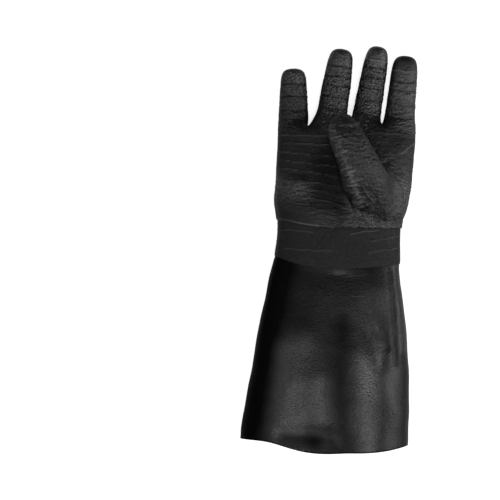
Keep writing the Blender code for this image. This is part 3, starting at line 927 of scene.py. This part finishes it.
def hand_cage():
    cage, rows = tube_cage(palm_rings() + [knuckle_ring()])
    bmesh.ops.delete(cage, geom=[rows[3][5], rows[3][6]], context="VERTS")
    root = []
    for point in THUMB_ROOT:
        vert = rows[point.row][point.column]
        vert.co.x = point.across * PALM_WIDTH / 2
        vert.co.y = GAUNTLET_LENGTH + point.along * PALM_LENGTH
        vert.co.z = point.height * PALM_HEIGHT
        root.append(vert)
    add_thumb(cage, root)
    ring = rows[-1]
    webs = web_heights()
    sides = [ring[-1]]
    for k in range(1, len(FINGERS)):
        middle = (ring[2 * k].co + ring[2 * COLUMNS - 2 * k].co) / 2
        sides.append(cage.verts.new((middle.x, webs[k], middle.z)))
    sides.append(ring[COLUMNS])
    for f, finger in enumerate(FINGERS):
        front = ring[2 * f : 2 * f + 3]
        first_back = 2 * COLUMNS - 2 * (f + 1)
        back = ring[first_back : first_back + 3]
        add_finger(cage, finger, front + [sides[f + 1]] + back + [sides[f]])
    return cage


Crease = namedtuple("Crease", "finger along bow height")
# finger: its row in FINGERS. along: share of its length. bow: mm towards the tip in the middle. height: mm.
CREASES = (
    Crease(0, 0.705, 1.5, -0.5),
    Crease(0, 0.498, 1.4, -0.5),
    Crease(0, 0.285, -0.8, -0.5),
    Crease(1, 0.752, 0.5, -0.5),
    Crease(1, 0.620, 0.0, -0.5),
    Crease(1, 0.512, -1.5, -0.5),
    Crease(1, 0.346, -0.3, -0.5),
    Crease(1, 0.205, -2.0, -0.5),
    Crease(2, 0.800, 0.9, 0.4),
    Crease(2, 0.700, 0.5, -0.5),
    Crease(2, 0.585, -0.5, -0.5),
    Crease(2, 0.448, -1.1, -0.5),
    Crease(2, 0.300, -2.1, -0.5),
    Crease(2, 0.100, -0.8, -0.4),
    Crease(3, 0.766, 0.0, 0.4),
    Crease(3, 0.640, -2.8, -0.5),
    Crease(3, 0.505, -1.9, -0.5),
    Crease(3, 0.310, -3.0, -0.4),
    Crease(3, 0.115, -2.3, -0.4),
)
PALM_FOLDS = (
    Fold(-51.4, 120.4, -0.1, 119.1, 0.0, 0.34, 0.7),
    Fold(-49.8, 111.5, 0.8, 109.0, 0.7, 0.34, 0.7),
    Fold(-53.1, 103.3, 5.6, 97.1, -0.5, 0.34, 0.7),
    Fold(-52.2, 94.0, 7.3, 87.0, -0.5, 0.34, 0.7),
    Fold(-53.1, 84.9, 9.7, 74.8, 1.4, 0.34, 0.7),
    Fold(-49.8, 71.2, 13.0, 63.8, 2.5, 0.30, 0.7),
    Fold(-54.7, 65.0, 15.4, 53.2, 3.5, 0.30, 0.7),
    Fold(-31.9, 53.9, 21.1, 41.8, 2.7, 0.30, 0.7),
    Fold(-15.6, 42.1, 26.8, 32.4, 2.2, 0.26, 0.7),
    Fold(39.9, 121.7, 88.8, 120.1, 0.5, 0.30, 0.7),
    Fold(48.0, 112.3, 70.9, 111.9, 0.0, 0.26, 0.7),
    Fold(41.5, 106.6, 75.8, 107.4, 0.0, 0.26, 0.7),
    Fold(75.0, 99.5, 90.1, 113.4, -0.5, 0.45, 0.9),
    Fold(49.7, 84.9, 75.8, 72.8, 1.0, 0.40, 0.9),
    Fold(49.7, 38.9, 80.7, 38.9, -0.8, 0.30, 0.7),
    Fold(52.9, 45.4, 75.8, 47.9, 0.0, 0.30, 0.7),
)
PALM_SWELLS = (
    Fold(-56.0, 69.0, -18.0, 69.0, 0.0, 1.6, 8.0),
    Fold(48.0, 70.0, 86.0, 68.0, 0.0, 1.6, 8.0),
    Fold(26.0, 52.0, 44.0, 21.0, 0.0, 4.0, 7.0),  # the thumb's mound, run on down to the seam
    Fold(57.0, 94.0, 64.0, 90.0, 0.0, -1.2, 2.5),  # the pit beside the thumb's root
)
THUMB_SHOULDER = Fold(1.0, 130.0, 31.0, 42.0, 0.0, 2.4, 4.5)  # its left edge, rolled up square
TUCKS = 27  # short folds over that edge
TUCK_REACH = 6.0
THUMB_PAINTED_LIGHT = 0.52
THUMB_FOLDS = (
    Fold(7.3, 126.9, 31.7, 130.5, 0.0, 0.40, 0.9),
    Fold(17.1, 78.0, 27.7, 82.9, 0.0, 0.40, 1.2),
    Fold(20.3, 71.5, 33.4, 71.5, 0.0, 0.35, 1.1),
    Fold(33.4, 66.6, 48.0, 45.4, -0.9, 0.30, 0.9),
    Fold(26.8, 60.1, 46.4, 40.5, -1.1, 0.25, 0.9),
    Fold(23.6, 45.4, 41.5, 56.8, -0.9, 0.25, 0.9),
    Fold(26.8, 38.9, 49.7, 53.6, 0.0, 0.25, 0.9),
    Fold(31.7, 32.4, 52.9, 46.2, 0.0, 0.20, 0.9),
)
Lay = namedtuple("Lay", "x y turn wrinkled crackled shine")
# How the cloth lies under the coat about a place, in mm: its wrinkles run across the glove, turned by
# that many degrees, wrinkled and crackled say how strong its two patterns are, and the last column is the painted
# light and shade there, set in the coat's specular level and roughness.
LAYS = (
    Lay(-37, 188, 0, 0.2, 0.3, 0.80),
    Lay(-37, 172, 0, 0.3, 1.5, 0.60),
    Lay(-37, 142, 0, 1.0, 0.6, 0.42),
    Lay(13, 204, -9, 0.1, 0.1, 0.80),
    Lay(8, 182, -9, 0.4, 1.6, 0.90),
    Lay(4, 152, -9, 0.5, 1.5, 0.75),
    Lay(53, 208, -10, 0.1, 0.1, 0.95),
    Lay(48, 182, -10, 0.4, 1.6, 0.95),
    Lay(43, 152, -10, 0.5, 1.5, 0.80),
    Lay(82, 197, -6, 0.2, 0.1, 0.38),
    Lay(79, 178, -6, 1.2, 0.5, 0.90),
    Lay(76, 145, -6, 1.2, 0.5, 0.75),
    Lay(-30, 110, -2, 0.2, 0.15, 0.26),
    Lay(-30, 85, -6, 0.2, 0.15, 0.24),
    Lay(-38, 62, -6, 1.3, 0.6, 0.72),
    # painted shade on the palm where the thumb's shadow falls
    Lay(-2, 88, -8, 0.2, 0.1, 0.12),
    Lay(0, 60, -10, 0.3, 0.2, 0.18),
    Lay(0, 35, -8, 0.4, 0.2, 0.30),
    Lay(-40, 38, -8, 0.4, 0.3, 0.26),
    Lay(34, 38, 0, 1.2, 0.8, 1.00),
    Lay(60, 118, 0, 0.7, 0.5, 0.22),
    Lay(76, 88, -30, 1.2, 0.4, 0.45),
    Lay(70, 62, -4, 1.4, 0.9, 1.00),
    Lay(62, 40, 0, 1.0, 0.7, 0.60),
)
LAY_REACH = 0.014
THUMB_SHOWS_ABOVE = 0.038  # the palm stays under this height
LAP_TAPER = 0.0014  # how much thinner the lap is at its edge
EDGE_ROLL = 0.0008 # how far the raised line just inside the edge stands proud, most at EDGE_PROUD
EDGE_WIDTH = 0.0010
EDGE_PROUD = -0.017


def creases_across(fingers, creases):
    """The creases as folds from side to side of their fingers."""
    folds = []
    for crease in creases:
        finger = fingers[crease.finger]
        lean = math.radians(finger.lean)
        along = np.array((math.sin(lean), math.cos(lean)))
        right = np.array((math.cos(lean), -math.sin(lean)))
        start = GAUNTLET_LENGTH + PALM_LENGTH + finger.foot * FINGER_WIDTH
        foot = np.array((finger.across * PALM_WIDTH / 2, start)) + DRAWN_TO_ROW[:2]
        middle = foot + along * (crease.along * FINGER_LENGTH * finger.length)
        side = right * (FINGER_WIDTH * finger.width / 2)
        ends = [value * 1000 for value in (*(middle - side), *(middle + side))]
        folds.append(Fold(*ends, crease.bow, crease.height, 1.0))
    return folds


def tucks_over(line):
    """Short folds across a line, unequal and a little askew, as cloth gathers over an edge."""
    tucks = []
    for k in range(TUCKS):
        u = (k + 0.5) / TUCKS
        x, y = line.x + u * (line.to_x - line.x), line.y + u * (line.to_y - line.y)
        reach = TUCK_REACH * (0.8 + 0.3 * math.sin(5.1 * k))
        askew = 1.2 + 1.1 * math.sin(2.3 * k)
        tucks.append(Fold(x - reach, y - askew, x + reach, y + askew, 0.6, 0.5 + 0.2 * math.sin(3.7 * k), 0.9))
    return tucks


def lie_of_cloth(points, lays):
    """The grain, and the table's other columns at each point, blended between its places."""
    grain, turned = points.copy(), np.zeros((len(points), 2))
    strengths, total = np.zeros((3, len(points))), np.zeros(len(points))
    for lay in lays:
        centre = np.array((lay.x, lay.y)) / 1000
        away = points[:, :2] - centre
        near = np.exp(-(away**2).sum(1) / LAY_REACH**2) + 1e-9
        turn = math.radians(lay.turn)
        axes = np.array(((math.cos(turn), -math.sin(turn)), (math.sin(turn), math.cos(turn))))
        turned += near[:, None] * (centre + away @ axes)
        strengths += np.array((lay.wrinkled, lay.crackled, lay.shine))[:, None] * near
        total += near
    grain[:, :2] = turned / total[:, None]
    return grain, *(strengths / total)


HAND_SIZES = {
    "Wrinkle Spacing": 0.0017,
    "Wrinkle Length": 0.0080,
    "Wrinkle Depth": 0.00160,
    "Crackle Size": 0.0020,
    "Crackle Depth": 0.00200,
    "Swell Size": 0.0150,
    "Swell Depth": 0.0004,
    "Seed": 7.0,
}

cage = hand_cage()
fit_cage(cage)
skin_mesh = smooth_skin(cage, 4, "hand")
points = points_of(skin_mesh)
thumb = np.clip((points[:, 2] - THUMB_SHOWS_ABOVE) / 0.005, 0, 1)
facing = facing_up(skin_mesh)
on_palm = relief_of(points, (*PALM_FOLDS, *creases_across(FINGERS, CREASES)))
on_thumb = relief_of(points, (*THUMB_FOLDS, *tucks_over(THUMB_SHOULDER)))
relief = (on_palm * (1 - thumb) + on_thumb * thumb) * facing
from_edge = -distance_below(seam_y, points)
proud = 0.35 + 0.65 * np.exp(-(((points[:, 0] - EDGE_PROUD) / 0.016) ** 2))
relief += EDGE_ROLL * proud * np.exp(-((from_edge / EDGE_WIDTH - 1.5) ** 2)) * (1 - thumb) * facing
swells = relief_of(points, PALM_SWELLS) * (1 - thumb) + relief_of(points, [THUMB_SHOULDER]) * thumb
swells = swells * facing - LAP_TAPER * np.exp(-from_edge / TAPER_LENGTH)
grain, wrinkled, crackled, shine = lie_of_cloth(points, LAYS)
grain += (points - grain) * thumb[:, None]
wrinkled += (1.5 - wrinkled) * thumb
crackled += (0.3 - crackled) * thumb
# painted light on the thumb, one level all over it
shine += (THUMB_PAINTED_LIGHT - shine) * thumb
at_sides = 0.3 + 0.7 * facing
add_attribute(skin_mesh, "relief", relief + swells)
add_attribute(skin_mesh, "grain", grain)
add_attribute(skin_mesh, "wrinkled", wrinkled * at_sides)
add_attribute(skin_mesh, "crackled", crackled * at_sides)
add_attribute(skin_mesh, "free", np.ones(len(points)))
tree = relief_tree("crinkled hand relief", ROUGH_NEOPRENE, HAND_SIZES)
outer = pressed_skin(skin_mesh, "hand", tree, HAND_SIZES)
hand = walled("hand_coat", outer, smooth_skin(cage, 1, "hand_lining"), HAND_WALL)
keep_on_piece(hand, relief=relief, grain=grain, wrinkled=wrinkled, crackled=crackled, shine=shine)
hand.data.materials.append(ROUGH_NEOPRENE)
hand.data.materials.append(JERSEY)
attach(hand, "root")
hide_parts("hand")


# The stage: a white sheet under the glove, as wide as the studio.
# One long soft box hangs above the camera on the hem's side, and a second, weaker one stands on the right.

SHEET_HALF = 3.0
SHEET_DROP = 0.0003  # keeps the sheet just clear of the glove's flat back
SHEET_GLOW = 0.8


def white_sheet():
    """Matt white paper that glows for the camera alone: the ground is white, and the glove's gloss stays dark."""
    material = bpy.data.materials.new("paper, matt white")
    material.use_nodes = True
    tree = material.node_tree
    paper = tree.nodes["Principled BSDF"]
    ray = add_node(tree, "ShaderNodeLightPath")
    glow = add_node(
        tree, "ShaderNodeMath", {0: ray.outputs["Is Camera Ray"], 1: SHEET_GLOW}, operation="MULTIPLY"
    )
    tree.links.new(glow.outputs[0], paper.inputs["Emission Strength"])
    paper.inputs["Emission Color"].default_value = (1.0, 1.0, 1.0, 1.0)
    paper.inputs["Base Color"].default_value = (0.92, 0.92, 0.92, 1.0)
    paper.inputs["Roughness"].default_value = 0.9
    paper.inputs["Specular IOR Level"].default_value = 0.1
    return material


corners = [(x * SHEET_HALF, y * SHEET_HALF, -SHEET_DROP) for x, y in ((-1, -1), (1, -1), (1, 1), (-1, 1))]
sheet_mesh = bpy.data.meshes.new("sheet")
sheet_mesh.from_pydata(corners, [], [(0, 1, 2, 3)])
sheet_mesh.materials.append(white_sheet())
sheet = bpy.data.objects.new("sheet", sheet_mesh)
bpy.context.scene.collection.objects.link(sheet)

SoftBox = namedtuple("SoftBox", "name x y z wide long watts")
SOFT_BOXES = (
    SoftBox("soft_box_overhead", 0.08, -0.62, 2.30, 1.2, 1.0, 16.0),
    SoftBox("soft_box_left", -1.30, 0.00, 1.50, 2.0, 0.6, 6.0),
    SoftBox("soft_box_right", 1.50, -0.10, 0.90, 1.2, 0.9, 12.0),
)
for box in SOFT_BOXES:
    light = bpy.data.lights.new(box.name, "AREA")
    light.shape = "RECTANGLE"
    light.size = box.wide
    light.size_y = box.long
    light.energy = box.watts
    lamp = bpy.data.objects.new(box.name, light)
    lamp.location = (box.x, box.y, box.z)
    lamp.rotation_euler = lamp.location.to_track_quat("Z", "Y").to_euler()
    bpy.context.scene.collection.objects.link(lamp)

world = bpy.data.worlds.new("dim studio")
world.use_nodes = True
world.node_tree.nodes["Background"].inputs["Color"].default_value = (1.0, 1.0, 1.0, 1.0)
world.node_tree.nodes["Background"].inputs["Strength"].default_value = 0.10
bpy.context.scene.world = world
bpy.context.scene.view_settings.view_transform = "Standard"


# The camera: straight above, level with the glove's middle and well to its left.
# The photograph shows the right-hand glove right of the picture's middle, at about 1 mm to a pixel.

CAMERA_PLACE = (-0.08355, -0.00108, 2.0075)

camera = bpy.data.objects.new("camera", bpy.data.cameras.new("camera"))
camera.location = CAMERA_PLACE
camera.data.lens = 135.0
camera.data.sensor_width = 36.0
bpy.context.scene.collection.objects.link(camera)
bpy.context.scene.camera = camera
